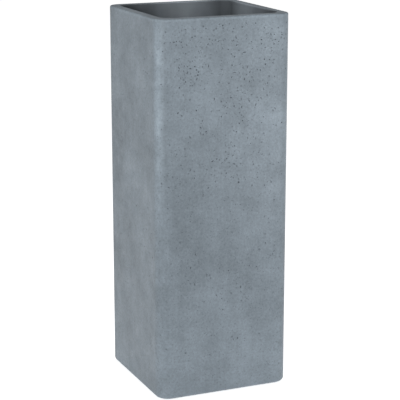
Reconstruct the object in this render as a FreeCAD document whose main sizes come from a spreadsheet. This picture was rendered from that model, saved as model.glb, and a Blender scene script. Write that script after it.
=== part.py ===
import FreeCAD, Part
import Sketcher
import math
import os

# Tall square planter
# A moulded shell with a turned-in rim carries a lift-out planting insert on the ledge below that rim.
# The insert has two pull-up handles and a loose drainage grate. The shell has a drain plug and foot pads.
# Millimetres. Z is up, the origin is on the floor under the middle of the base, and -Y is the front.

SIZES = {
    # Shell: outside, rim and walls
    "overall_height": 700,
    "outer_width": 260,
    "corner_radius": 25,
    "shell_wall": 4,
    "rim_width": 18,
    "rim_outer_round": 3,
    "rim_inner_round": 2,
    "mouth_radius": 18,
    # Shell: well inside the rim, with the ledge that carries the insert
    "well_depth": 50,
    "ledge_width": 11,
    "ledge_thickness": 5,
    # Shell: base
    "floor_thickness": 5,
    "base_round": 7,
    "foot_ring_width": 40,
    "base_recess": 7,
    "recess_radius": 16,
    "drain_bore": 24,
    # Foot pads
    "pad_width": 24,
    "pad_proud": 2,
    "pad_seat": 2.5,
    "pad_inset": 26,
    "pad_clearance": 0.1,
    "pad_bevel": 1,
    # Drain plug
    "plug_clearance": 0.1,
    "plug_flange": 5,
    "plug_head": 2.5,
    "plug_reach": 6,
    "plug_taper": 3,
    "plug_bevel": 1,
    "tab_width": 5,
    "tab_drop": 3,
    # Planting insert
    "flange_clearance": 0.8,
    "flange_thickness": 3,
    "insert_depth": 280,
    "insert_wall": 2.5,
    "insert_floor": 3,
    "insert_taper": 12,
    "insert_radius": 24,
    "insert_bevel": 5,
    "hole_diameter": 9,
    "hole_circle": 110,
    "hole_count": 8,
    # Handle legs and the sleeves that guide them
    "leg_thickness": 3.5,
    "leg_width": 14,
    "leg_pitch": 74,
    "leg_clearance": 0.2,
    "sleeve_wall": 1.5,
    "sleeve_depth": 20,
    "sleeve_gap": 0.8,
    "sleeve_root": 1.5,
    "handle_travel": 50,
    "stop_gap": 0.5,
    "foot_height": 6,
    "foot_shoulder": 2,
    "foot_lead": 1.5,
    "slit_width": 5,
    "slit_depth": 24,
    # Handle grip
    "grip_length": 104,
    "grip_thickness": 6,
    "grip_outer": 5,
    "grip_inner": 9,
    "grip_corner": 7,
    "grip_bevel": 2,
    # Drainage grate
    "grate_clearance": 2,
    "grate_thickness": 3,
    "grate_height": 14,
    "grate_radius": 9,
    "grate_leg": 12,
    "grate_leg_circle": 150,
    "finger_hole": 26,
    "slot_length": 22,
    "slot_width": 4,
    "slot_pitch": 14,
    "slot_row_pitch": 34,
    "slot_count": 9,
    "slot_rows": 4,
}

# Sizes that follow from the driving ones
MOUTH = "(Sizes.outer_width - 2 * Sizes.rim_width)"
LEDGE_TOP = "(Sizes.overall_height - Sizes.well_depth)"
LEDGE_OPENING = f"({MOUTH} - 2 * Sizes.ledge_width)"
INNER_RADIUS = "(Sizes.corner_radius - Sizes.shell_wall)"
CAVITY_FLOOR = "(Sizes.pad_proud + Sizes.floor_thickness)"
RECESS_WIDTH = "(Sizes.outer_width - 2 * Sizes.foot_ring_width)"
RECESS_ROOF = "(Sizes.pad_proud + Sizes.base_recess)"
PAD_PLACE = "(Sizes.outer_width / 2 - Sizes.pad_inset)"
LEG_PLACE = (
    f"({LEDGE_OPENING} / 2 - Sizes.sleeve_gap - Sizes.sleeve_wall"
    " - Sizes.leg_clearance - Sizes.leg_thickness / 2)"
)
NECK = f"(2 * ({LEG_PLACE} - Sizes.leg_thickness / 2 - Sizes.leg_clearance))"
INSERT_FOOT = f"({NECK} - 2 * Sizes.insert_taper)"
INSERT_DRAFT = "-atan(Sizes.insert_taper / Sizes.insert_depth)"
INSERT_BASE = f"({LEDGE_TOP} - Sizes.insert_depth)"
INSERT_FLOOR_TOP = f"({INSERT_BASE} + Sizes.insert_floor)"
FLANGE_TOP = f"({LEDGE_TOP} + Sizes.flange_thickness)"
SLOT_THICKNESS = "(Sizes.leg_thickness + 2 * Sizes.leg_clearance)"
SLOT_WIDTH = "(Sizes.leg_width + 2 * Sizes.leg_clearance)"
LEG_LENGTH = (
    "(Sizes.flange_thickness + Sizes.sleeve_depth + Sizes.handle_travel"
    " + Sizes.stop_gap + Sizes.foot_height)"
)
GRATE_WIDTH = f"({INSERT_FOOT} - 2 * Sizes.insert_wall - 2 * Sizes.grate_clearance)"
GRATE_UNDERSIDE = f"({INSERT_FLOOR_TOP} + Sizes.grate_height)"

UP = FreeCAD.Vector(0, 0, 1)
COINCIDENT_TOLERANCE = 1e-4

doc = FreeCAD.newDocument("planter")


def make_sheet():
    sheet = doc.addObject("Spreadsheet::Sheet", "Sizes")
    for row, (alias, size) in enumerate(SIZES.items(), start=1):
        sheet.set(f"A{row}", alias)
        sheet.set(f"B{row}", str(size))
        sheet.setAlias(f"B{row}", alias)
    doc.recompute()
    return sheet


sizes = make_sheet()


def value(expression):
    """The number that an expression on the sheet gives now."""
    return float(sizes.evalExpression(expression))


# Sketches

def new_body(label):
    body = doc.addObject("PartDesign::Body", label)
    body.Label = label
    return body


def origin_part(body, role):
    return next(part for part in body.Origin.OriginFeatures if part.Role == role)


def new_sketch(body, name, across=None, along=None, height=None):
    """An empty sketch parallel to the floor, its origin moved to the given place."""
    sketch = body.newObject("Sketcher::SketchObject", name)
    sketch.AttachmentSupport = (origin_part(body, "XY_Plane"), [""])
    sketch.MapMode = "FlatFace"
    for axis, place in (("x", across), ("y", along), ("z", height)):
        if place is not None:
            sketch.setExpression(f"AttachmentOffset.Base.{axis}", place)
    return sketch


def bind(sketch, constraint, name, expression):
    index = sketch.addConstraint(constraint)
    sketch.renameConstraint(index, name)
    sketch.setExpression(f"Constraints.{name}", expression)


def draw_circle(sketch, diameter):
    ring = sketch.addGeometry(Part.Circle(FreeCAD.Vector(), UP, value(diameter) / 2))
    sketch.addConstraint(Sketcher.Constraint("Coincident", ring, 3, -1, 1))
    bind(sketch, Sketcher.Constraint("Diameter", ring, value(diameter)), "diameter", diameter)


def draw_rectangle(sketch, width, length):
    x, y = value(width) / 2, value(length) / 2
    corners = [FreeCAD.Vector(*corner, 0) for corner in ((-x, -y), (x, -y), (x, y), (-x, y))]
    sides = [sketch.addGeometry(Part.LineSegment(corners[i], corners[(i + 1) % 4])) for i in range(4)]
    for i, direction in enumerate(("Horizontal", "Vertical", "Horizontal", "Vertical")):
        sketch.addConstraint(Sketcher.Constraint("Coincident", sides[i], 2, sides[(i + 1) % 4], 1))
        sketch.addConstraint(Sketcher.Constraint(direction, sides[i]))
    sketch.addConstraint(Sketcher.Constraint("Symmetric", sides[0], 1, sides[2], 1, -1, 1))
    bind(sketch, Sketcher.Constraint("DistanceX", sides[0], 1, sides[0], 2, 2 * x), "width", width)
    bind(sketch, Sketcher.Constraint("DistanceY", sides[1], 1, sides[1], 2, 2 * y), "length", length)


def draw_rounded_rectangle(sketch, width, length, radius):
    """Four sides joined by equal tangent arcs, centred on the sketch's origin."""
    x, y, r = value(width) / 2, value(length) / 2, value(radius)
    straight = (
        ((-x + r, -y), (x - r, -y)),
        ((x, -y + r), (x, y - r)),
        ((x - r, y), (-x + r, y)),
        ((-x, y - r), (-x, -y + r)),
    )
    middles = ((x - r, -y + r), (x - r, y - r), (-x + r, y - r), (-x + r, -y + r))
    quarter = math.pi / 2
    sides, arcs = [], []
    for i in range(4):
        start, end = (FreeCAD.Vector(*point, 0) for point in straight[i])
        circle = Part.Circle(FreeCAD.Vector(*middles[i], 0), UP, r)
        sides.append(sketch.addGeometry(Part.LineSegment(start, end)))
        arcs.append(sketch.addGeometry(Part.ArcOfCircle(circle, (i - 1) * quarter, i * quarter)))
    for i, direction in enumerate(("Horizontal", "Vertical", "Horizontal", "Vertical")):
        sketch.addConstraint(Sketcher.Constraint("Tangent", sides[i], 2, arcs[i], 1))
        sketch.addConstraint(Sketcher.Constraint("Tangent", arcs[i], 2, sides[(i + 1) % 4], 1))
        sketch.addConstraint(Sketcher.Constraint(direction, sides[i]))
    for arc in arcs[1:]:
        sketch.addConstraint(Sketcher.Constraint("Equal", arcs[0], arc))
    sketch.addConstraint(Sketcher.Constraint("Symmetric", sides[0], 1, sides[2], 1, -1, 1))
    bind(sketch, Sketcher.Constraint("DistanceX", sides[3], 1, sides[1], 1, 2 * x), "width", width)
    bind(sketch, Sketcher.Constraint("DistanceY", sides[0], 1, sides[2], 1, 2 * y), "length", length)
    bind(sketch, Sketcher.Constraint("Radius", arcs[0], r), "radius", radius)


# Features

def extrude(body, kind, name, sketch, length, backward, draft):
    feature = body.newObject(f"PartDesign::{kind}", name)
    feature.Profile = sketch
    feature.Reversed = backward
    feature.setExpression("Length", length)
    if draft:
        feature.setExpression("TaperAngle", draft)
    doc.recompute()
    return feature


def pad(body, name, sketch, length, downward=False, draft=None):
    return extrude(body, "Pad", name, sketch, length, downward, draft)


def pocket(body, name, sketch, length, upward=False, draft=None):
    """A cut that runs down from the sketch, or up from it. It has to take something away."""
    before = body.Shape.Volume
    feature = extrude(body, "Pocket", name, sketch, length, upward, draft)
    if not body.Shape.Volume < before:
        raise RuntimeError(f"{name} cuts nothing")
    return feature


def pattern(body, kind, name, originals, **settings):
    feature = body.newObject(f"PartDesign::{kind}", name)
    feature.Originals = originals
    for key, setting in settings.items():
        if isinstance(setting, str):
            feature.setExpression(key, setting)
        else:
            setattr(feature, key, setting)
    body.Tip = feature
    doc.recompute()
    return feature


def dress_edges(body, kind, name, size, wanted):
    """Fillet or chamfer every edge of the body so far that the test in wanted picks."""
    base = body.Tip
    names = [f"Edge{i}" for i, edge in enumerate(base.Shape.Edges, start=1) if wanted(edge)]
    if not names:
        raise RuntimeError(f"{name} found no edge")
    feature = body.newObject(f"PartDesign::{kind}", name)
    feature.Base = (base, names)
    feature.setExpression("Radius" if kind == "Fillet" else "Size", size)
    doc.recompute()
    return feature


def flat_at(edge, height):
    """True for an edge that lies level at one height."""
    box = edge.BoundBox
    return max(abs(box.ZMin - height), abs(box.ZMax - height)) < COINCIDENT_TOLERANCE


def reach(edge):
    """How far from the Z axis the edge gets, along X or Y."""
    box = edge.BoundBox
    return max(abs(box.XMin), abs(box.XMax), abs(box.YMin), abs(box.YMax))


def at_foot_end(edge, middle, half):
    """True for an edge along X at either end of a foot that is centred on the given place along Y."""
    box = edge.BoundBox
    offset = abs(abs(box.Center.y) - middle)
    return box.YLength < COINCIDENT_TOLERANCE and abs(offset - half) < COINCIDENT_TOLERANCE


def square_section(body, name, width, radius, height):
    sketch = new_sketch(body, name, height=height)
    draw_rounded_rectangle(sketch, width, width, radius)
    return sketch


# Outer shell

def make_shell():
    body = new_body("outer_shell")
    top = "Sizes.overall_height"
    base = "Sizes.pad_proud"

    # Solid column, then the hollow inside it: the top stays closed for now
    outline = square_section(body, "column_outline", "Sizes.outer_width", "Sizes.corner_radius", base)
    pad(body, "column", outline, f"{top} - {base}")
    thin = "2 * Sizes.shell_wall"
    under_rim = f"({top} - Sizes.shell_wall)"
    hollow_width = f"Sizes.outer_width - {thin}"
    hollow = square_section(body, "cavity_outline", hollow_width, INNER_RADIUS, CAVITY_FLOOR)
    pocket(body, "cavity", hollow, f"{under_rim} - {CAVITY_FLOOR}", upward=True)

    # Raised floor panel: the hollow under it leaves a ring to stand on
    plateau_width = f"{RECESS_WIDTH} + {thin}"
    plateau_radius = "Sizes.recess_radius + Sizes.shell_wall"
    plateau = square_section(body, "plateau_outline", plateau_width, plateau_radius, CAVITY_FLOOR)
    pad(body, "plateau", plateau, "Sizes.base_recess")
    recess = square_section(body, "recess_outline", RECESS_WIDTH, "Sizes.recess_radius", base)
    pocket(body, "base_recess", recess, "Sizes.base_recess", upward=True)
    drain = new_sketch(body, "drain_outline", height=RECESS_ROOF)
    draw_circle(drain, "Sizes.drain_bore")
    pocket(body, "drain_hole", drain, "Sizes.floor_thickness", upward=True)

    # Well: a tub hung from the rim, then opened so that only its skirt and ledge are left
    skirt_radius = "Sizes.mouth_radius + Sizes.shell_wall"
    tub = square_section(body, "tub_outline", f"{MOUTH} + {thin}", skirt_radius, under_rim)
    tub_depth = "Sizes.well_depth + Sizes.ledge_thickness - Sizes.shell_wall"
    pad(body, "tub", tub, tub_depth, downward=True)
    mouth = square_section(body, "mouth_outline", MOUTH, "Sizes.mouth_radius", top)
    pocket(body, "well", mouth, "Sizes.well_depth")
    opening_radius = f"Sizes.insert_radius + ({LEDGE_OPENING} - {NECK}) / 2"
    opening = square_section(body, "opening_outline", LEDGE_OPENING, opening_radius, LEDGE_TOP)
    pocket(body, "ledge_opening", opening, "Sizes.ledge_thickness")

    # Seats for the foot pads, one in each corner of the standing ring
    seat = new_sketch(body, "pad_seat_outline", PAD_PLACE, PAD_PLACE, base)
    seat_width = "Sizes.pad_width + 2 * Sizes.pad_clearance"
    draw_rectangle(seat, seat_width, seat_width)
    first = pocket(body, "pad_seat", seat, "Sizes.pad_seat", upward=True)
    axis = (origin_part(body, "Z_Axis"), [""])
    pattern(body, "PolarPattern", "pad_seats", [first], Axis=axis, Occurrences=4)

    # Rounded edges
    rim = value(top)
    mouth_half = value(MOUTH) / 2
    floor_half = value("Sizes.outer_width") / 2
    margin = value("Sizes.shell_wall")
    dress_edges(body, "Fillet", "rim_outer_edge", "Sizes.rim_outer_round",
                lambda edge: flat_at(edge, rim) and reach(edge) > mouth_half + margin)
    dress_edges(body, "Fillet", "rim_inner_edge", "Sizes.rim_inner_round",
                lambda edge: flat_at(edge, rim) and reach(edge) < mouth_half + COINCIDENT_TOLERANCE)
    dress_edges(body, "Fillet", "base_edge", "Sizes.base_round",
                lambda edge: flat_at(edge, value(base)) and reach(edge) > floor_half - margin)
    return body


# Foot pads

def make_foot_pad(label, side, end):
    body = new_body(label)
    outline = new_sketch(body, "outline")
    draw_rectangle(outline, "Sizes.pad_width", "Sizes.pad_width")
    pad(body, "block", outline, "Sizes.pad_proud + Sizes.pad_seat")
    dress_edges(body, "Chamfer", "foot_edge", "Sizes.pad_bevel", lambda edge: flat_at(edge, 0))
    body.setExpression("Placement.Base.x", f"{side} * {PAD_PLACE}")
    body.setExpression("Placement.Base.y", f"{end} * {PAD_PLACE}")
    return body


# Drain plug

def make_drain_plug():
    body = new_body("drain_plug")
    head = new_sketch(body, "head_outline", height=RECESS_ROOF)
    head_diameter = "Sizes.drain_bore + 2 * Sizes.plug_flange"
    draw_circle(head, head_diameter)
    pad(body, "head", head, "Sizes.plug_head", downward=True)
    head_floor = value(f"{RECESS_ROOF} - Sizes.plug_head")
    dress_edges(body, "Chamfer", "head_edge", "Sizes.plug_bevel", lambda edge: flat_at(edge, head_floor))

    # Stopper: straight where it fills the hole, tapered where it leads in
    stem_diameter = "Sizes.drain_bore - 2 * Sizes.plug_clearance"
    stem = new_sketch(body, "stem_outline", height=RECESS_ROOF)
    draw_circle(stem, stem_diameter)
    pad(body, "stem", stem, "Sizes.floor_thickness")
    lead_in = new_sketch(body, "lead_in_outline", height=f"{RECESS_ROOF} + Sizes.floor_thickness")
    draw_circle(lead_in, stem_diameter)
    pad(body, "lead_in", lead_in, "Sizes.plug_reach", draft="-atan(Sizes.plug_taper / Sizes.plug_reach)")

    # Pull tab across the underside
    tab = new_sketch(body, "tab_outline", height=f"{RECESS_ROOF} - Sizes.plug_head")
    draw_rectangle(tab, "Sizes.drain_bore", "Sizes.tab_width")
    pad(body, "tab", tab, "Sizes.tab_drop", downward=True)
    return body


# Planting insert

def make_insert():
    body = new_body("planting_insert")

    # Tapered tub with a level flange
    neck = square_section(body, "tub_outline", NECK, "Sizes.insert_radius", LEDGE_TOP)
    pad(body, "tub", neck, "Sizes.insert_depth", downward=True, draft=INSERT_DRAFT)
    base_height = value(INSERT_BASE)
    dress_edges(body, "Chamfer", "tub_edge", "Sizes.insert_bevel", lambda edge: flat_at(edge, base_height))
    flange_width = f"{MOUTH} - 2 * Sizes.flange_clearance"
    flange_radius = "Sizes.mouth_radius - Sizes.flange_clearance"
    flange = square_section(body, "flange_outline", flange_width, flange_radius, LEDGE_TOP)
    pad(body, "flange", flange, "Sizes.flange_thickness")

    # Sleeves for the handles' legs, below the flange and against the tub's side walls
    sleeve_inner = f"({NECK} / 2 - Sizes.sleeve_root)"
    sleeve_outer = f"({LEDGE_OPENING} / 2 - Sizes.sleeve_gap)"
    sleeve_place = f"({sleeve_inner} + {sleeve_outer}) / 2"
    sleeve_outline = new_sketch(body, "sleeve_outline", sleeve_place, "Sizes.leg_pitch / 2", LEDGE_TOP)
    sleeve_length = f"{SLOT_WIDTH} + 2 * Sizes.sleeve_wall"
    draw_rectangle(sleeve_outline, f"{sleeve_outer} - {sleeve_inner}", sleeve_length)
    sleeve = pad(body, "sleeve", sleeve_outline, "Sizes.sleeve_depth", downward=True)
    mirror_both_ways(body, "sleeves", sleeve)

    # Inside of the tub, open at the top, and the slots through the sleeves
    mouth_width = f"{NECK} - 2 * Sizes.insert_wall"
    mouth_radius = "Sizes.insert_radius - Sizes.insert_wall"
    mouth = square_section(body, "cavity_outline", mouth_width, mouth_radius, FLANGE_TOP)
    pocket(body, "cavity", mouth, f"{FLANGE_TOP} - {INSERT_FLOOR_TOP}", draft=INSERT_DRAFT)
    slot_outline = new_sketch(body, "slot_outline", LEG_PLACE, "Sizes.leg_pitch / 2", FLANGE_TOP)
    draw_rectangle(slot_outline, SLOT_THICKNESS, SLOT_WIDTH)
    slot = pocket(body, "slot", slot_outline, "Sizes.flange_thickness + Sizes.sleeve_depth")
    mirror_both_ways(body, "slots", slot)

    # Drain holes: one in the middle and a ring of them round it
    middle = new_sketch(body, "middle_hole_outline", height=INSERT_FLOOR_TOP)
    draw_circle(middle, "Sizes.hole_diameter")
    pocket(body, "middle_hole", middle, "Sizes.insert_floor")
    ring = new_sketch(body, "ring_hole_outline", "Sizes.hole_circle / 2", height=INSERT_FLOOR_TOP)
    draw_circle(ring, "Sizes.hole_diameter")
    hole = pocket(body, "ring_hole", ring, "Sizes.insert_floor")
    axis = (origin_part(body, "Z_Axis"), [""])
    pattern(body, "PolarPattern", "ring_holes", [hole], Axis=axis, Occurrences="Sizes.hole_count")
    return body


def mirror_both_ways(body, name, original):
    """Repeat a feature in all four quarters of the plan."""
    mirrors = []
    for role in ("XZ_Plane", "YZ_Plane"):
        mirror = body.newObject("PartDesign::Mirrored", f"{name}_{role[:2].lower()}")
        mirror.MirrorPlane = (origin_part(body, role), [""])
        mirrors.append(mirror)
    repeat = body.newObject("PartDesign::MultiTransform", name)
    repeat.Originals = [original]
    repeat.Transformations = mirrors
    body.Tip = repeat
    doc.recompute()
    return repeat


# Lifting handles

def make_handle(label, turn):
    """A grip bar on two legs. Each leg ends in a split foot that stops it in its sleeve."""
    body = new_body(label)
    grip_middle = f"{LEG_PLACE} + (Sizes.grip_outer - Sizes.grip_inner) / 2"
    grip_width = "Sizes.leg_thickness + Sizes.grip_outer + Sizes.grip_inner"
    grip_outline = new_sketch(body, "grip_outline", grip_middle, height=FLANGE_TOP)
    draw_rounded_rectangle(grip_outline, grip_width, "Sizes.grip_length", "Sizes.grip_corner")
    pad(body, "grip", grip_outline, "Sizes.grip_thickness")
    grip_top = value(f"{FLANGE_TOP} + Sizes.grip_thickness")
    dress_edges(body, "Chamfer", "grip_edge", "Sizes.grip_bevel", lambda edge: flat_at(edge, grip_top))

    leg_end = "Sizes.leg_pitch / 2"
    leg_foot = f"{FLANGE_TOP} - {LEG_LENGTH}"
    leg_outline = new_sketch(body, "leg_outline", LEG_PLACE, leg_end, FLANGE_TOP)
    draw_rectangle(leg_outline, "Sizes.leg_thickness", "Sizes.leg_width")
    leg = pad(body, "leg", leg_outline, LEG_LENGTH, downward=True)
    foot_outline = new_sketch(body, "foot_outline", LEG_PLACE, leg_end, leg_foot)
    draw_rectangle(foot_outline, "Sizes.leg_thickness", "Sizes.leg_width + 2 * Sizes.foot_shoulder")
    foot = pad(body, "foot", foot_outline, "Sizes.foot_height")
    slit_outline = new_sketch(body, "slit_outline", LEG_PLACE, leg_end, leg_foot)
    draw_rectangle(slit_outline, "2 * Sizes.leg_thickness", "Sizes.slit_width")
    slit = pocket(body, "slit", slit_outline, "Sizes.slit_depth", upward=True)
    mirror_plane = (origin_part(body, "XZ_Plane"), [""])
    pattern(body, "Mirrored", "second_leg", [leg, foot, slit], MirrorPlane=mirror_plane)
    foot_floor = value(leg_foot)
    foot_half = value("Sizes.leg_width / 2 + Sizes.foot_shoulder")
    foot_middle = value(leg_end)
    dress_edges(body, "Chamfer", "foot_lead_in", "Sizes.foot_lead",
                lambda edge: flat_at(edge, foot_floor) and at_foot_end(edge, foot_middle, foot_half))
    body.Placement = FreeCAD.Placement(FreeCAD.Vector(), FreeCAD.Rotation(UP, turn))
    return body


# Drainage grate

def make_grate():
    body = new_body("drainage_grate")
    plate = square_section(body, "plate_outline", GRATE_WIDTH, "Sizes.grate_radius", GRATE_UNDERSIDE)
    pad(body, "plate", plate, "Sizes.grate_thickness")
    axis = (origin_part(body, "Z_Axis"), [""])
    diagonal = "Sizes.grate_leg_circle / 2 * sqrt(0.5)"
    leg_outline = new_sketch(body, "leg_outline", diagonal, diagonal, GRATE_UNDERSIDE)
    draw_circle(leg_outline, "Sizes.grate_leg")
    leg = pad(body, "leg", leg_outline, "Sizes.grate_height", downward=True)
    pattern(body, "PolarPattern", "legs", [leg], Axis=axis, Occurrences=4)

    top = f"{GRATE_UNDERSIDE} + Sizes.grate_thickness"
    first_across = "-Sizes.slot_row_pitch * (Sizes.slot_rows - 1) / 2"
    first_along = "-Sizes.slot_pitch * (Sizes.slot_count - 1) / 2"
    slot_outline = new_sketch(body, "slot_outline", first_across, first_along, top)
    draw_rectangle(slot_outline, "Sizes.slot_length", "Sizes.slot_width")
    slot = pocket(body, "slot", slot_outline, "Sizes.grate_thickness")
    pattern(body, "LinearPattern", "slots", [slot],
            Direction=(origin_part(body, "X_Axis"), [""]),
            Direction2=(origin_part(body, "Y_Axis"), [""]),
            Length="Sizes.slot_row_pitch * (Sizes.slot_rows - 1)",
            Length2="Sizes.slot_pitch * (Sizes.slot_count - 1)",
            Occurrences="Sizes.slot_rows",
            Occurrences2="Sizes.slot_count")
    finger = new_sketch(body, "finger_hole_outline", height=top)
    draw_circle(finger, "Sizes.finger_hole")
    pocket(body, "finger_hole", finger, "Sizes.grate_thickness")
    return body


# Assembly

def make_planter():
    pieces = [
        make_shell(),
        make_insert(),
        make_handle("right_lift_handle", 0),
        make_handle("left_lift_handle", 180),
        make_grate(),
        make_drain_plug(),
    ]
    for end_name, end in (("front", -1), ("rear", 1)):
        for side_name, side in (("left", -1), ("right", 1)):
            pieces.append(make_foot_pad(f"foot_pad_{end_name}_{side_name}", side, end))
    doc.recompute()
    return pieces


def check(pieces):
    for item in doc.Objects:
        if {"Invalid", "Error"} & set(item.State):
            raise RuntimeError(f"{item.Name} is {item.State}")
    for piece in pieces:
        if piece.Shape.isNull() or not piece.Shape.isValid() or len(piece.Shape.Solids) != 1:
            raise RuntimeError(f"{piece.Label} isn't one valid solid")


planter = make_planter()
check(planter)
os.makedirs("parts", exist_ok=True)
for piece in planter:
    piece.Shape.exportStep(f"parts/{piece.Label}.step")
    box = piece.Shape.optimalBoundingBox(False, False)
    print(f"{piece.Label}: {piece.Shape.Volume / 1000:.1f} cm3, "
          f"z {box.ZMin:.2f} to {box.ZMax:.2f}, {box.XLength:.2f} x {box.YLength:.2f}")
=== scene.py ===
# %% [markdown]
# # A tall square planter in a stone finish
# This lesson dresses a planter whose solids are already designed. Its outside is one moulded shell with
# rounded edges, a turned-in rim and a finish that copies pitted, weathered stone. The other pieces sit
# inside it or under it. The solids come first, because every piece that is modelled here has to lie where
# its solid lies.

# %% Load the solids
import math
import random

import bpy
from mathutils import Matrix, Vector


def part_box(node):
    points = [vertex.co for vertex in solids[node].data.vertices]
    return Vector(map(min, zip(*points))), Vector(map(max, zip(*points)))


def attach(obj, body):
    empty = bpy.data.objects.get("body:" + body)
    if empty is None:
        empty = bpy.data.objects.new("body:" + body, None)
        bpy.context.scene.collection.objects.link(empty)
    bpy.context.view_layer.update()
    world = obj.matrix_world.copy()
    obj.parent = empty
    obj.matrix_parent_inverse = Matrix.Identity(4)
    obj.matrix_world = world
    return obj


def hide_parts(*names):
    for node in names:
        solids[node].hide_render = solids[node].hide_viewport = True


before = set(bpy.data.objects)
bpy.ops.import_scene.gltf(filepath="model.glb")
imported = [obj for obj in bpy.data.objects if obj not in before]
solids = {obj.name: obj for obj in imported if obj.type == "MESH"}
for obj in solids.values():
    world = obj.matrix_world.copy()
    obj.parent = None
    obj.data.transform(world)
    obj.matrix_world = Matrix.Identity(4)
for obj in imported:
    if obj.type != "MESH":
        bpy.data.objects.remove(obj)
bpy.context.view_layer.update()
MM = 0.001
print("solids:", ", ".join(sorted(solids)))

# %% [markdown]
# ## The camera
# The picture shows the planter from the front and left, from a little above the rim, through a long lens
# that hardly lets its upright edges lean together. The place, the direction and the lens come from a fit of
# the planter's outline. A camera can be aimed with a constraint, but a plain location and direction are
# easier to check.

# %% Camera
camera_place = Vector((-1.06, -2.4647, 1.0073))
camera_direction = Vector((0.38499, 0.89076, -0.24151))
camera_data = bpy.data.cameras.new("picture_camera")
camera_data.sensor_width = 36
camera_data.lens = 131.92
camera = bpy.data.objects.new("picture_camera", camera_data)
camera.location = camera_place
camera.rotation_euler = camera_direction.to_track_quat("-Z", "Y").to_euler()
bpy.context.scene.collection.objects.link(camera)
bpy.context.scene.camera = camera
print("camera is", round(camera_place.length, 2), "m from the foot of the planter")

# %% [markdown]
# ## Helpers for modelling
# Operators act on whatever is selected, so each step first clears the selection and then picks edges or
# faces by their place. Small helpers do that here: one picks edges and bevels them, one starts a block with
# rounded upright edges, and one cuts a shape out of another with an applied Boolean modifier. Places that
# are nearer than CLOSE, in mm, count as one, and MARGIN is the room that a test by place leaves.

# %% Modelling helpers
CLOSE = 0.01
MARGIN = 0.1


def select_only(piece):
    bpy.ops.object.select_all(action="DESELECT")
    piece.select_set(True)
    bpy.context.view_layer.objects.active = piece


def bevel_edges(piece, wanted, width, segments):
    """Bevel every edge whose two ends pass the test in wanted."""
    select_only(piece)
    bpy.ops.object.mode_set(mode="EDIT")
    bpy.ops.mesh.select_mode(type="EDGE")
    bpy.ops.mesh.select_all(action="DESELECT")
    bpy.ops.object.mode_set(mode="OBJECT")
    points = [vertex.co for vertex in piece.data.vertices]
    for edge in piece.data.edges:
        start, end = edge.vertices
        edge.select = wanted(points[start], points[end])
    bpy.ops.object.mode_set(mode="EDIT")
    bpy.ops.mesh.bevel(offset=width * MM, segments=segments, affect="EDGES")
    bpy.ops.object.mode_set(mode="OBJECT")


def is_upright(start, end):
    return (start.xy - end.xy).length < CLOSE * MM


def rounded_block(name, width, low, high, radius, segments=8):
    """A square block from one height to another, its four upright edges rounded. All sizes are in mm."""
    bpy.ops.object.select_all(action="DESELECT")
    bpy.ops.mesh.primitive_cube_add(size=1, location=(0, 0, (low + high) / 2 * MM))
    block = bpy.context.object
    block.name = name
    block.scale = (width * MM, width * MM, (high - low) * MM)
    bpy.ops.object.transform_apply(location=True, rotation=True, scale=True)
    bevel_edges(block, is_upright, radius, segments)
    return block


def cut(piece, cutter):
    """Take the cutter's shape out of the piece, and the cutter out of the scene."""
    select_only(piece)
    modifier = piece.modifiers.new("cut", "BOOLEAN")
    modifier.operation = "DIFFERENCE"
    modifier.solver = "EXACT"
    modifier.object = cutter
    bpy.ops.object.modifier_apply(modifier=modifier.name)
    bpy.data.objects.remove(cutter)


print("helpers are ready")

# %% [markdown]
# ## The shell
# On the real planter a plastic powder is melted on to the inside of a turning mould, which gives a hollow
# column with one even wall. Its top is cut open after moulding and leaves a rim, a skirt and a ledge for
# the insert. The shell could be drawn as one profile and bridged, but the corner radius changes from the
# outside to the mouth, so a rounded block with rounded blocks cut out of it follows the real form more
# closely.

# %% Shell column with rounded edges
shell_low, shell_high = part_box("outer_shell")
WIDTH = round((shell_high.x - shell_low.x) / MM, 2)
BASE = round(shell_low.z / MM, 2)
TOP = round(shell_high.z / MM, 2)
CORNER = 25
RIM_ROUND = 3
FOOT_ROUND = 7
shell = rounded_block("stone_shell", WIDTH, BASE, TOP, CORNER, 12)


def level_at(height, inside=None):
    """A test for edges that lie level at a height, only within a half-width if one is given."""
    def wanted(start, end):
        level = all(abs(point.z / MM - height) < CLOSE for point in (start, end))
        reach = max(abs(value) for point in (start, end) for value in point.xy) / MM
        return level and (inside is None or reach < inside)
    return wanted


bevel_edges(shell, level_at(TOP), RIM_ROUND, 5)
bevel_edges(shell, level_at(BASE), FOOT_ROUND, 5)
print("column has", len(shell.data.polygons), "faces")

# %% [markdown]
# The hollow is a block as well. Where the shell keeps material inside it, as in the skirt under the rim and
# the raised floor panel, that part is cut out of the hollow first.

# %% Shell hollow, well and base
WALL = 4
RIM = 18
INNER_ROUND = 2
MOUTH = WIDTH - 2 * RIM
MOUTH_RADIUS = 18
WELL_DEPTH = 50
LEDGE_TOP = TOP - WELL_DEPTH
LEDGE = 5
FLOOR = 5
RECESS = 180
RECESS_DEPTH = 7
RECESS_TOP = BASE + RECESS_DEPTH
RECESS_RADIUS = 16
PAST = 20
hollow = rounded_block("hollow", WIDTH - 2 * WALL, BASE + FLOOR, TOP - WALL, CORNER - WALL)
skirt = rounded_block("skirt", MOUTH + 2 * WALL, LEDGE_TOP - LEDGE, TOP + PAST, MOUTH_RADIUS + WALL)
cut(hollow, skirt)
panel = rounded_block("raised_floor", RECESS + 2 * WALL, BASE, RECESS_TOP + FLOOR, RECESS_RADIUS + WALL)
cut(hollow, panel)
cut(shell, hollow)
cut(shell, rounded_block("well", MOUTH, LEDGE_TOP, TOP + PAST, MOUTH_RADIUS, 10))
cut(shell, rounded_block("base_recess", RECESS, BASE - PAST, RECESS_TOP, RECESS_RADIUS))
print("hollow shell has", len(shell.data.polygons), "faces")

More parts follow.
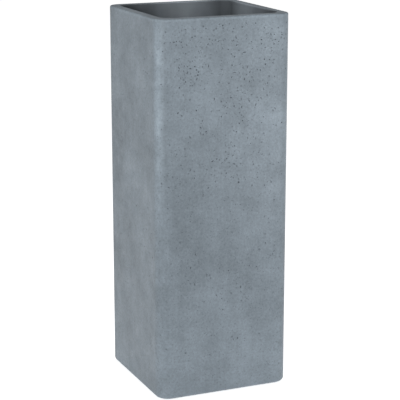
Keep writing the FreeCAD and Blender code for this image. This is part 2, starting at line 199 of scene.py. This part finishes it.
# %% [markdown]
# The holes come last: the opening in the ledge that the insert hangs through, the drain hole, and a seat
# for each foot pad. A seat is found from its pad's own place, with a little room round the pad. Then the
# inner edge of the rim is rounded.

# %% Holes in the shell
OPENING = 202
OPENING_RADIUS = 30.2
DRAIN = 24
SEAT_ROOM = 0.1
cut(shell, rounded_block("ledge_opening", OPENING, LEDGE_TOP - PAST, LEDGE_TOP + PAST, OPENING_RADIUS, 10))
bpy.ops.mesh.primitive_cylinder_add(vertices=32, radius=DRAIN / 2 * MM, depth=2 * PAST * MM)
cut(shell, bpy.context.object)
for label in solids:
    if label.startswith("foot_pad"):
        pad_low, pad_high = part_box(label)
        seat_size = pad_high - pad_low + Vector((2, 2, 0)) * SEAT_ROOM * MM
        bpy.ops.mesh.primitive_cube_add(size=1, location=(pad_low + pad_high) / 2, scale=seat_size)
        cut(shell, bpy.context.object)
bevel_edges(shell, level_at(TOP, inside=MOUTH / 2 + MARGIN), INNER_ROUND, 4)
print("shell has", len(shell.data.polygons), "faces")

# %% [markdown]
# ## Pits in the finish
# The mould's skin is copied from cast stone, so the outside is full of small blow holes: round or drawn
# out, 1 to 4 mm wide and mostly in loose clusters. A bump pattern would hint at them, but a real hole keeps
# its shadow from every side. One low, round cutter is modelled, copied to each place with a size and a turn
# of its own, joined to the other copies and cut out of the wall in one step. The cutter stands a little out
# of the wall and is turned a little, so that none of its corners lies in the wall's own plane, where a cut
# leaves slivers.

# %% One pit cutter
OUT_OF_WALL = 0.06
CUTTER_TURN = math.radians(10)
bpy.ops.object.select_all(action="DESELECT")
bpy.ops.mesh.primitive_uv_sphere_add(segments=9, ring_count=6, radius=MM / 2,
                                     location=(0, -OUT_OF_WALL * MM, 0), rotation=(0, 0, CUTTER_TURN))
pit_cutter = bpy.context.object
pit_cutter.name = "pit_cutter"
bpy.ops.object.transform_apply(location=True, rotation=True, scale=True)
print("pit cutter has", len(pit_cutter.data.polygons), "faces")

# %% [markdown]
# A place on the wall is given as a distance along a side from its middle, and a height. Past the flat of a
# side the place runs on round the corner, so that pits can lie on the rounded edges too.

# %% Places on the wall
FLAT = WIDTH / 2 - CORNER
HALF_ROUND = CORNER * math.pi / 4
SIDE_END = FLAT + HALF_ROUND
SIDES = {"front": 0, "right": 90, "rear": 180, "left": 270}


def wall_frame(side, along, height):
    """A matrix whose X runs along the wall, whose Z is up and whose -Y points out of it."""
    past = max(abs(along) - FLAT, 0) * (1 if along > 0 else -1)
    turn = past / CORNER
    corner_x = max(-FLAT, min(FLAT, along))
    point = Vector((corner_x + CORNER * math.sin(turn), -FLAT - CORNER * math.cos(turn), height))
    local = Matrix.Translation(point * MM) @ Matrix.Rotation(turn, 4, "Z")
    return Matrix.Rotation(math.radians(SIDES[side]), 4, "Z") @ local


print("a side runs", round(SIDE_END, 1), "mm each way from its middle")

# %% [markdown]
# The largest pits on the front are listed one by one, to the nearest 5 mm. Each has a place along the wall,
# a height, a width, a stretch and a lean. The rest are strewn by a seeded generator. Most lie in clusters,
# each with a place, a spread and a count, and the loose ones get fewer towards the foot. A place is dropped
# if another pit is too near.

# %% Strew the pits
LARGE_PITS = (
    (-45, 685, 3.0, 1.6, 115), (-20, 680, 3.0, 1.6, 55), (35, 635, 3.4, 2.2, 5), (-100, 660, 2.8, 1.5, 15),
    (30, 680, 2.8, 1.2, 60), (-55, 600, 3.2, 1.3, 95), (-75, 605, 3.0, 1.5, 60), (-90, 580, 3.0, 1.2, 70),
    (80, 555, 2.8, 1.5, 110), (-10, 550, 3.0, 1.6, 115), (15, 540, 3.2, 1.5, 90), (-70, 490, 3.0, 2.0, 130),
    (70, 470, 2.8, 1.9, 10), (-80, 470, 3.0, 1.0, 0), (-70, 430, 3.2, 1.8, 50), (25, 400, 3.6, 1.1, 50),
    (-35, 395, 2.8, 1.5, 40), (90, 395, 3.0, 1.7, 110), (-90, 300, 2.8, 1.3, 105), (-70, 250, 3.4, 1.3, 70),
    (80, 280, 2.8, 1.5, 90), (90, 255, 2.8, 1.5, 90), (45, 210, 2.8, 1.3, 90),
)
CLUSTERS = {
    "front": ((-66, 608, 16, 50), (-15, 668, 16, 34), (60, 636, 34, 32), (10, 545, 24, 34),
              (15, 448, 24, 28), (-80, 655, 22, 36), (92, 655, 14, 24), (40, 590, 36, 34),
              (60, 500, 26, 22), (-60, 250, 24, 18), (15, 205, 30, 30), (85, 262, 18, 14),
              (-70, 400, 30, 24), (20, 400, 36, 34)),
    "left": ((60, 300, 30, 12), (70, 600, 30, 10), (-40, 210, 30, 10)),
    "right": ((-50, 580, 30, 30), (40, 640, 30, 24), (10, 430, 34, 30), (-70, 300, 26, 20),
              (70, 240, 30, 20)),
    "rear": ((60, 620, 30, 30), (-40, 560, 34, 26), (20, 400, 34, 30), (-70, 260, 30, 20),
             (80, 330, 24, 16)),
}
LOOSE = {"front": 190, "left": 24, "right": 90, "rear": 90}
NEAREST = 0.85
SMALLEST = 1.5
LARGEST = 2.9
STRETCHES = (1.0, 1.0, 1.2, 1.5, 2.0)
LEAST_DEPTH = 0.8
MOST_DEPTH = 1.1
LOWEST = 16
HIGHEST = 690
LOOSE_REACH = 660
THINNING = 1.35
dice = random.Random(41)


def strewn_pits(side):
    """Yields place, width, stretch and lean of pits on a side: the clusters first, then the loose pits."""
    places = [(dice.gauss(along, spread), dice.gauss(height, spread))
              for along, height, spread, count in CLUSTERS[side] for _ in range(count)]
    places += [(dice.uniform(-SIDE_END, SIDE_END), HIGHEST - LOOSE_REACH * dice.random() ** THINNING)
               for _ in range(LOOSE[side])]
    for along, height in places:
        width = dice.uniform(SMALLEST, LARGEST)
        stretch = dice.choice(STRETCHES)
        yield along, height, width, stretch, dice.uniform(0, 180)


def pit_list(side):
    """The pits of a side: on the front the large ones, and on every side the strewn ones that find room."""
    found = list(LARGE_PITS) if side == "front" else []
    for pit in strewn_pits(side):
        along, height, width = pit[:3]
        inside = abs(along) < SIDE_END and LOWEST < height < HIGHEST
        gaps = [math.hypot(along - other[0], height - other[1]) - NEAREST * (width + other[2])
                for other in found]
        if inside and min(gaps, default=1) > 0:
            found.append(pit)
    return found


def copy_pit(side, along, height, width, stretch, lean):
    """A copy of the cutter at its place on the wall, as wide, deep, drawn out and turned as its pit."""
    turn = Matrix.Rotation(math.radians(-lean), 4, "Y")
    depth = width * dice.uniform(LEAST_DEPTH, MOST_DEPTH)
    shape = Matrix.Diagonal((width * stretch, depth, width / math.sqrt(stretch), 1))
    pit = pit_cutter.copy()
    pit.data = pit_cutter.data.copy()
    pit.data.transform(wall_frame(side, along, height) @ turn @ shape)
    bpy.context.scene.collection.objects.link(pit)
    return pit


pits = []
for side in SIDES:
    places = pit_list(side)
    pits += [copy_pit(side, *place) for place in places]
    print(side, "has", len(places), "pits")

# %% [markdown]
# The walls, the rim and the whole underside have the stone skin, and what lies inside has its own finish.
# The faces of the cutters carry the second finish of the shell, and the Boolean hands it on to the holes
# that they leave. So the bottoms of the pits can be darker than the skin: dust, and painted shade. After
# the cut, corners that lie within 2 microns of each other are merged.

# %% Sort the shell's faces and cut the pits
SKIN, PIT, INSIDE = range(3)
MERGED = 0.002


def below_skin(point):
    """How far inside the column's rounded outline a point lies, in mm."""
    reach = [abs(value) / MM for value in point.xy]
    past = [max(value - FLAT, 0) for value in reach]
    return CORNER - math.hypot(*past) if max(past) > 0 else WIDTH / 2 - max(reach)


for face in shell.data.polygons:
    depth = below_skin(face.center)
    level = face.center.z / MM
    covered = depth > WALL / 2 and level < TOP - WALL + MARGIN
    on_rim = level > TOP - CLOSE
    under = level < BASE + FLOOR - MARGIN or abs(level - RECESS_TOP) < CLOSE
    inner = covered or depth > RIM - INNER_ROUND + MARGIN
    face.material_index = INSIDE if inner and not (on_rim or under) else SKIN
select_only(pits[0])
for pit in pits[1:]:
    pit.select_set(True)
bpy.ops.object.join()
all_pits = bpy.context.object
bpy.data.objects.remove(pit_cutter)
for label in ("cast_stone_skin", "dark_pit_bottoms", "moulded_inner_wall"):
    shell.data.materials.append(bpy.data.materials.new(label))
    all_pits.data.materials.append(bpy.data.materials[label])
for face in all_pits.data.polygons:
    face.material_index = PIT
cut(shell, all_pits)
bpy.ops.object.mode_set(mode="EDIT")
bpy.ops.mesh.select_all(action="SELECT")
bpy.ops.mesh.remove_doubles(threshold=MERGED * MM)
bpy.ops.mesh.dissolve_degenerate(threshold=MERGED * MM)
bpy.ops.object.mode_set(mode="OBJECT")
print("pitted shell has", len(shell.data.polygons), "faces")

# %% [markdown]
# Flat walls beside tight rounds shade badly if their normals are simply averaged. So edges over 30 degrees
# stay sharp, and a Weighted Normal modifier lets the large faces keep their own direction.

# %% Shade the shell
select_only(shell)
bpy.ops.object.shade_smooth_by_angle(angle=math.radians(30))
even = shell.modifiers.new("even_shading", "WEIGHTED_NORMAL")
even.keep_sharp = True
bpy.ops.object.modifier_apply(modifier=even.name)
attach(shell, "shell")
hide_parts("outer_shell")

# %% [markdown]
# ## Finishes
# Every finish is built from a few nodes. One function adds a node, sets it up and links it, and another
# turns a colour as it is seen on a screen into the linear colour that shaders work with. Pattern sizes are
# given in mm.

# %% Finish helpers
def linear(code):
    """An sRGB colour such as 8a949c as linear red, green, blue and alpha."""
    parts = [int(code[i:i + 2], 16) / 255 for i in (0, 2, 4)]
    return [part / 12.92 if part <= 0.04045 else ((part + 0.055) / 1.055) ** 2.4 for part in parts] + [1]


def add_node(tree, kind, inputs, **settings):
    """Add a node, set its options, and fill or link its inputs."""
    node = tree.nodes.new(kind)
    for name, value in settings.items():
        setattr(node, name, value)
    for name, value in inputs.items():
        if isinstance(value, bpy.types.NodeSocket):
            tree.links.new(value, node.inputs[name])
        else:
            node.inputs[name].default_value = value
    return node


def per_mm(size):
    """The scale at which a pattern's features are about this many mm wide."""
    return 1000 / size


def start_finish(material):
    """Clear a material's nodes and return its tree, its shader and the place on the piece."""
    material.use_nodes = True
    tree = material.node_tree
    tree.nodes.clear()
    shader = add_node(tree, "ShaderNodeBsdfPrincipled", {})
    add_node(tree, "ShaderNodeOutputMaterial", {"Surface": shader.outputs["BSDF"]})
    place = add_node(tree, "ShaderNodeTexCoord", {}).outputs["Object"]
    return tree, shader, place


print("finish helpers are ready")

# %% [markdown]
# ### Tones from noise
# A finish like this is a colour with several patterns over it, each at its own size. So a pattern is made
# as a tone that is read from a noise, and the tones are multiplied. A colour ramp for each pattern would do
# the same, but a tone's share of the colour is then harder to see and to change.

# %% Tones from noise
def add_noise(tree, vector, scale, roughness=0.5):
    """A noise between 0 and 1, mostly between 0.3 and 0.7."""
    noise = add_node(tree, "ShaderNodeTexNoise",
                     {"Vector": vector, "Scale": scale, "Detail": 3.0, "Roughness": roughness})
    return noise.outputs["Fac"]


def tone_of(tree, noise, low, high):
    """The tone between low and high that is read from a noise."""
    tone = add_node(tree, "ShaderNodeMapRange",
                    {"Value": noise, "From Min": 0.3, "From Max": 0.7, "To Min": low, "To Max": high})
    return tone.outputs["Result"]


def product(tree, tones):
    """One tone that is the product of several."""
    result = tones[0]
    for tone in tones[1:]:
        step = add_node(tree, "ShaderNodeMath", {0: result, 1: tone}, operation="MULTIPLY")
        result = step.outputs["Value"]
    return result


def toned(tree, colour, tone):
    """A colour made lighter or darker by a tone."""
    return add_node(tree, "ShaderNodeVectorMath", {0: colour, "Scale": tone}, operation="SCALE").outputs[0]


print("tone helpers are ready")

# %% [markdown]
# ### Cast-stone skin
# The shell is polyethylene with a matte, washed stone coat. The eye sees cloudy blue-grey patches a hand
# wide, mottles inside them, faint streaks down the wall, a fine grain, and pinholes too small to model.
# Stone could be one large noise, but it then looks like fog, so each pattern has a size of its own. The
# grain and the pinholes are drawn two to three times as coarse as the real ones, which would be too fine to
# show in a small picture.

# %% Cast-stone skin
tree, shader, place = start_finish(bpy.data.materials["cast_stone_skin"])
cloud_share = tone_of(tree, add_noise(tree, place, per_mm(95), 0.6), 0.0, 1.0)
stone = add_node(tree, "ShaderNodeMix", {0: cloud_share, 6: linear("697279"), 7: linear("79838b")},
                 data_type="RGBA")
mottle = add_noise(tree, place, per_mm(20), 0.6)
mottle_tone = tone_of(tree, mottle, 0.94, 1.06)
grain = add_noise(tree, place, per_mm(4.5), 0.7)
grain_tone = tone_of(tree, grain, 0.86, 1.14)
drawn = add_node(tree, "ShaderNodeMapping",
                 {"Vector": place, "Scale": (per_mm(9), per_mm(9), per_mm(150))})
streak_tone = tone_of(tree, add_noise(tree, drawn.outputs["Vector"], 1.0), 0.97, 1.03)
cells = add_node(tree, "ShaderNodeTexVoronoi", {"Vector": place, "Scale": per_mm(6)})
pinholes = add_node(tree, "ShaderNodeMapRange",
                    {"Value": cells.outputs["Distance"], "From Min": 0.1, "From Max": 0.24, "To Min": 0.74})
skin_tones = [mottle_tone, grain_tone, streak_tone, pinholes.outputs["Result"]]
print("skin has", len(skin_tones), "tones over its clouds")

# %% [markdown]
# Upright edges get a painted highlight: their rounds are made paler where a light from the left would shine
# on them. Only on a rounded edge is a point far from both middle planes at once, so the product of a range
# of each distance marks it. The painted highlight is patchy, strongest on the left, and fades towards the
# foot and a little towards the top. The rim's outer edge gets a painted highlight all round, and its flat
# top is darker, as painted shade.

# %% Painted edge highlights and rim shade
axes = add_node(tree, "ShaderNodeSeparateXYZ", {"Vector": place})
mirrored = add_node(tree, "ShaderNodeVectorMath", {0: place}, operation="ABSOLUTE")
distances = add_node(tree, "ShaderNodeSeparateXYZ", {"Vector": mirrored.outputs["Vector"]})
sideways = add_node(tree, "ShaderNodeMapRange",
                    {"Value": distances.outputs["X"], "From Min": 116.3 * MM, "From Max": 125.2 * MM})
endways = add_node(tree, "ShaderNodeMapRange",
                   {"Value": distances.outputs["Y"], "From Min": 105 * MM, "From Max": 120.2 * MM})
upper = add_node(tree, "ShaderNodeMapRange",
                 {"Value": axes.outputs["Z"], "From Min": 620 * MM, "From Max": 690 * MM,
                  "To Min": 1.0, "To Max": 0.4})
fade = add_node(tree, "ShaderNodeMapRange",
                {"Value": axes.outputs["Z"], "From Min": 250 * MM, "From Max": 520 * MM, "To Min": 0.05},
                interpolation_type="SMOOTHSTEP")
stronger_on_left = add_node(tree, "ShaderNodeMapRange",
                   {"Value": axes.outputs["X"], "From Min": -60 * MM, "From Max": 60 * MM,
                    "To Min": 1.0, "To Max": 0.2})
patchy = tone_of(tree, add_noise(tree, place, per_mm(31), 0.65), 0.16, 0.78)
# Painted highlight on the upright rounded edges, strongest on the left.
painted_edge_highlight = product(tree, [sideways.outputs["Result"], endways.outputs["Result"], upper.outputs["Result"],
                      fade.outputs["Result"], stronger_on_left.outputs["Result"], patchy])
edge_highlight_tone = add_node(tree, "ShaderNodeMath", {0: painted_edge_highlight, 1: 1.0}, operation="ADD")
# Painted shade on the rim's flat top, and a painted highlight on its outer round.
rim_top_shade = add_node(tree, "ShaderNodeMapRange",
                    {"Value": axes.outputs["Z"], "From Min": 699 * MM, "From Max": 699.9 * MM,
                     "To Min": 1.0, "To Max": 0.66})
rim_edge_highlight = add_node(tree, "ShaderNodeMapRange",
                    {"Value": axes.outputs["Z"], "From Min": 694 * MM, "From Max": 698 * MM,
                     "To Min": 1.0, "To Max": 1.2})
skin_tones += [edge_highlight_tone.outputs["Value"], rim_top_shade.outputs["Result"], rim_edge_highlight.outputs["Result"]]
print("skin has", len(skin_tones), "tones with the painted edge highlights and the rim")

# %% [markdown]
# One wide, darker patch below the middle of the front is painted shade, and the foot is a little paler with
# painted light that the floor throws up. A patch is a range of the distance from its middle, which is
# simpler than a painted mask and has no seam.

# %% Painted shade on the front and painted floor light at the foot
# Painted shade: a wide, darker patch below the middle of the front.
from_shade_middle = add_node(tree, "ShaderNodeVectorMath", {0: place, 1: (10 * MM, -130 * MM, 300 * MM)},
                      operation="DISTANCE")
front_shade_tone = add_node(tree, "ShaderNodeMapRange",
                      {"Value": from_shade_middle.outputs["Value"], "From Min": 20 * MM, "From Max": 260 * MM,
                       "To Min": 0.87, "To Max": 1.0}, interpolation_type="SMOOTHSTEP")
# Painted light thrown up by the floor: the foot is a little paler.
foot_bounce_light = add_node(tree, "ShaderNodeMapRange",
                     {"Value": axes.outputs["Z"], "From Min": 0.0, "From Max": 110 * MM,
                      "To Min": 1.08, "To Max": 1.0})
skin_tones += [front_shade_tone.outputs["Result"], foot_bounce_light.outputs["Result"]]
tree.links.new(toned(tree, stone.outputs[2], product(tree, skin_tones)), shader.inputs["Base Color"])
print("skin has", len(skin_tones), "tones in all")

# %% [markdown]
# Gloss and relief follow the same noises as the colour, as they do on a real cast: a pale mottle is denser
# and a little smoother. The coat is a chalky one, so it has less shine than bare plastic.

# %% Gloss and relief of the skin
gloss = add_node(tree, "ShaderNodeMapRange",
                 {"Value": mottle, "From Min": 0.3, "From Max": 0.7, "To Min": 0.55, "To Max": 0.42})
tree.links.new(gloss.outputs["Result"], shader.inputs["Roughness"])
height = add_node(tree, "ShaderNodeMath", {0: grain, 1: mottle}, operation="ADD")
relief = add_node(tree, "ShaderNodeBump",
                  {"Height": height.outputs["Value"], "Strength": 0.5, "Distance": 0.4 * MM})
tree.links.new(relief.outputs["Normal"], shader.inputs["Normal"])
shader.inputs["Specular IOR Level"].default_value = 0.18
print("skin has", len(tree.nodes), "nodes")

# %% [markdown]
# ### Pit bottoms
# Dust and shade keep the bottoms of the pits darker than the skin, and their colour carries painted shade.
# They could be left to the light alone, but in a small picture a hole of 3 mm is a dot or two wide and needs
# the help. Two dark greys are mixed by a noise whose spots are a few pits wide, so that neighbours differ:
# some are nearly full of dust.

# %% Pit bottoms
tree, shader, place = start_finish(bpy.data.materials["dark_pit_bottoms"])
dust_share = tone_of(tree, add_noise(tree, place, per_mm(12)), 0.0, 1.0)
# Dust and painted shade in the pit bottoms.
dust_and_shade_grey = add_node(tree, "ShaderNodeMix", {0: dust_share, 6: linear("454d53"), 7: linear("737c83")},
                 data_type="RGBA")
tree.links.new(dust_and_shade_grey.outputs[2], shader.inputs["Base Color"])
shader.inputs["Roughness"].default_value = 0.8
print("pit bottoms have", len(tree.nodes), "nodes")

# %% [markdown]
# ### Moulded inner wall
# Inside, the shell has no stone coat. It is bare, smooth, matte grey plastic. Its colour carries painted
# shade, darker in the corners and all round, and painted light on the rear right, where the key light falls
# in through the mouth. Corners could be found with a baked shading pass, but here the sum of the distances
# from the two middle planes is largest in them, which needs three nodes.

# %% Moulded inner wall
tree, shader, place = start_finish(bpy.data.materials["moulded_inner_wall"])
cloud_share = tone_of(tree, add_noise(tree, place, per_mm(40)), 0.0, 1.0)
wall = add_node(tree, "ShaderNodeMix", {0: cloud_share, 6: linear("8b939a"), 7: linear("9ca4ab")},
                data_type="RGBA")
mirrored = add_node(tree, "ShaderNodeVectorMath", {0: place}, operation="ABSOLUTE")
towards_corner = add_node(tree, "ShaderNodeVectorMath", {0: mirrored.outputs["Vector"], 1: (1, 1, 0)},
                          operation="DOT_PRODUCT")
# Painted shade, darker towards the corners.
corner_shade = add_node(tree, "ShaderNodeMapRange",
                 {"Value": towards_corner.outputs["Value"], "From Min": 140 * MM, "From Max": 207 * MM,
                  "To Min": 1.0, "To Max": 0.36})
# Painted light on the rear right, where the key light falls in through the mouth; darker away from it.
from_lit_spot = add_node(tree, "ShaderNodeVectorMath", {0: place, 1: (70 * MM, 90 * MM, 670 * MM)},
                      operation="DISTANCE")
rear_right_light = add_node(tree, "ShaderNodeMapRange",
                     {"Value": from_lit_spot.outputs["Value"], "From Min": 30 * MM, "From Max": 115 * MM,
                      "To Min": 1.19, "To Max": 0.63})
inner_light_and_shade = product(tree, [corner_shade.outputs["Result"], rear_right_light.outputs["Result"]])
tree.links.new(toned(tree, wall.outputs[2], inner_light_and_shade), shader.inputs["Base Color"])
shader.inputs["Roughness"].default_value = 0.85
shader.inputs["Specular IOR Level"].default_value = 0.2
print("inner wall has", len(tree.nodes), "nodes")

# %% [markdown]
# ### Plastics and rubber inside and below
# The insert, its handles and the grate are injection-moulded polypropylene. The mould is spark-eroded,
# which leaves a fine, even grain that kills the shine, and the plastic is a little cloudy. The plug and the
# pads are moulded rubber, blacker and with a grey bloom. One recipe serves all of them with sizes and
# colours of their own. The grain is drawn coarser than the real 0.3 mm so that it shows.

# %% Moulded plastics and rubber
GLOSS_SPREAD = 0.06


def moulded_finish(name, dark, light, cloud, grain, relief_depth, roughness):
    """A dyed-through, moulded finish: clouds of two close tones, a fine grain, and a cloudy gloss."""
    material = bpy.data.materials.new(name)
    tree, shader, place = start_finish(material)
    share = tone_of(tree, add_noise(tree, place, per_mm(cloud)), 0.0, 1.0)
    colour = add_node(tree, "ShaderNodeMix", {0: share, 6: linear(dark), 7: linear(light)},
                      data_type="RGBA")
    tree.links.new(colour.outputs[2], shader.inputs["Base Color"])
    gloss = add_node(tree, "ShaderNodeMapRange",
                     {"Value": share, "To Min": roughness - GLOSS_SPREAD,
                      "To Max": roughness + GLOSS_SPREAD})
    tree.links.new(gloss.outputs["Result"], shader.inputs["Roughness"])
    sparks = add_node(tree, "ShaderNodeTexNoise", {"Vector": place, "Scale": per_mm(grain), "Detail": 2.0})
    relief = add_node(tree, "ShaderNodeBump",
                      {"Height": sparks.outputs["Fac"], "Strength": 0.4, "Distance": relief_depth * MM})
    tree.links.new(relief.outputs["Normal"], shader.inputs["Normal"])
    return material


print("the recipe for moulded finishes is ready")

# %% [markdown]
# A CAD node keeps its own shape here and only gets a better finish. Its old materials come out first, so
# that no face goes on pointing to a slot that is gone.

# %% Finishes for the solids that stay
insert_plastic = moulded_finish("spark_grained_polypropylene", "2c2f32", "393c40", 60, 1.6, 0.25, 0.52)
handle_plastic = moulded_finish("smooth_grip_polypropylene", "3a3d41", "474b4f", 30, 1.2, 0.12, 0.42)
grate_plastic = moulded_finish("recycled_polypropylene", "26282a", "35373a", 25, 2.0, 0.3, 0.58)
plug_rubber = moulded_finish("moulded_black_rubber", "17181a", "2a2b2d", 12, 1.0, 0.12, 0.72)
pad_rubber = moulded_finish("scuffed_pad_rubber", "1a1b1c", "323334", 8, 1.4, 0.2, 0.78)
finishes = {"planting_insert": insert_plastic, "left_lift_handle": handle_plastic,
            "right_lift_handle": handle_plastic, "drainage_grate": grate_plastic, "drain_plug": plug_rubber}
for label, solid in solids.items():
    if label != "outer_shell":
        solid.data.materials.clear()
        solid.data.materials.append(finishes.get(label, pad_rubber))
        print(label, "gets", solid.data.materials[0].name)

# %% [markdown]
# ## The studio
# The picture is a catalogue cut-out: an even white ground, soft light on the front and the left, a lighter
# band along the right edge and no hard shadow. A key softbox stands at the front left, a narrow one close
# to the right edge, and one hangs overhead for the rim and the inside. The white world fills the rest. It is
# whiter to the eye than the light that it gives, so that the ground stays white. The plain view transform
# keeps white paper white.

# %% Softboxes
FILL_LIGHT = 0.4
WHITER_TO_THE_EYE = 0.7
world = bpy.data.worlds.new("studio")
bpy.context.scene.world = world
world.use_nodes = True
background = world.node_tree.nodes["Background"]
background.inputs["Color"].default_value = (1, 1, 1, 1)
rays = add_node(world.node_tree, "ShaderNodeLightPath", {})
glow = add_node(world.node_tree, "ShaderNodeMath",
                {0: rays.outputs["Is Camera Ray"], 1: WHITER_TO_THE_EYE, 2: FILL_LIGHT},
                operation="MULTIPLY_ADD")
world.node_tree.links.new(glow.outputs["Value"], background.inputs["Strength"])
bpy.context.scene.view_settings.view_transform = "Standard"


def softbox(name, place, target, size, power):
    """A rectangular light that faces its target. Places and sizes are in metres."""
    data = bpy.data.lights.new(name, "AREA")
    data.shape = "RECTANGLE"
    data.size, data.size_y = size
    data.energy = power
    light = bpy.data.objects.new(name, data)
    light.location = place
    light.rotation_euler = (Vector(target) - Vector(place)).to_track_quat("-Z", "Y").to_euler()
    bpy.context.scene.collection.objects.link(light)
    print(name, "gives", power, "W")


softbox("key_softbox", (-1.3, -1.38, 0.98), (0, 0, 0.5), (0.5, 0.7), 14.5)
softbox("right_softbox", (0.36, -0.5, 0.44), (0.12, -0.13, 0.46), (0.1, 0.45), 1.1)
softbox("overhead_softbox", (0, 0.3, 2.3), (0, 0, 0.7), (0.8, 0.8), 12)

# %% [markdown]
# The floor is a wide sheet of white paper that glows a little, as a lit backdrop does, so that it meets the
# white world without a line. It lies a hair below the pads, because two faces in one plane would flicker.
# Its back is clear, so that the planter's own underside can be looked at from below.

# %% Paper floor
PAPER_WIDTH = 30
PAPER_DROP = 0.2
bpy.ops.object.select_all(action="DESELECT")
bpy.ops.mesh.primitive_plane_add(size=PAPER_WIDTH, location=(0, 0, -PAPER_DROP * MM))
floor = bpy.context.object
floor.name = "studio_floor"
paper = bpy.data.materials.new("white_paper_floor")
tree, shader = start_finish(paper)[:2]
shader.inputs["Base Color"].default_value = (0.9, 0.9, 0.9, 1)
shader.inputs["Roughness"].default_value = 0.9
shader.inputs["Emission Color"].default_value = (1, 1, 1, 1)
shader.inputs["Emission Strength"].default_value = 0.66
sides = add_node(tree, "ShaderNodeNewGeometry", {})
clear = add_node(tree, "ShaderNodeBsdfTransparent", {})
sheet = add_node(tree, "ShaderNodeMixShader", {0: sides.outputs["Backfacing"], 1: shader.outputs["BSDF"],
                                               2: clear.outputs["BSDF"]})
tree.links.new(sheet.outputs["Shader"], tree.nodes["Material Output"].inputs["Surface"])
floor.data.materials.append(paper)
print("floor is", round(floor.dimensions.x), "m wide")
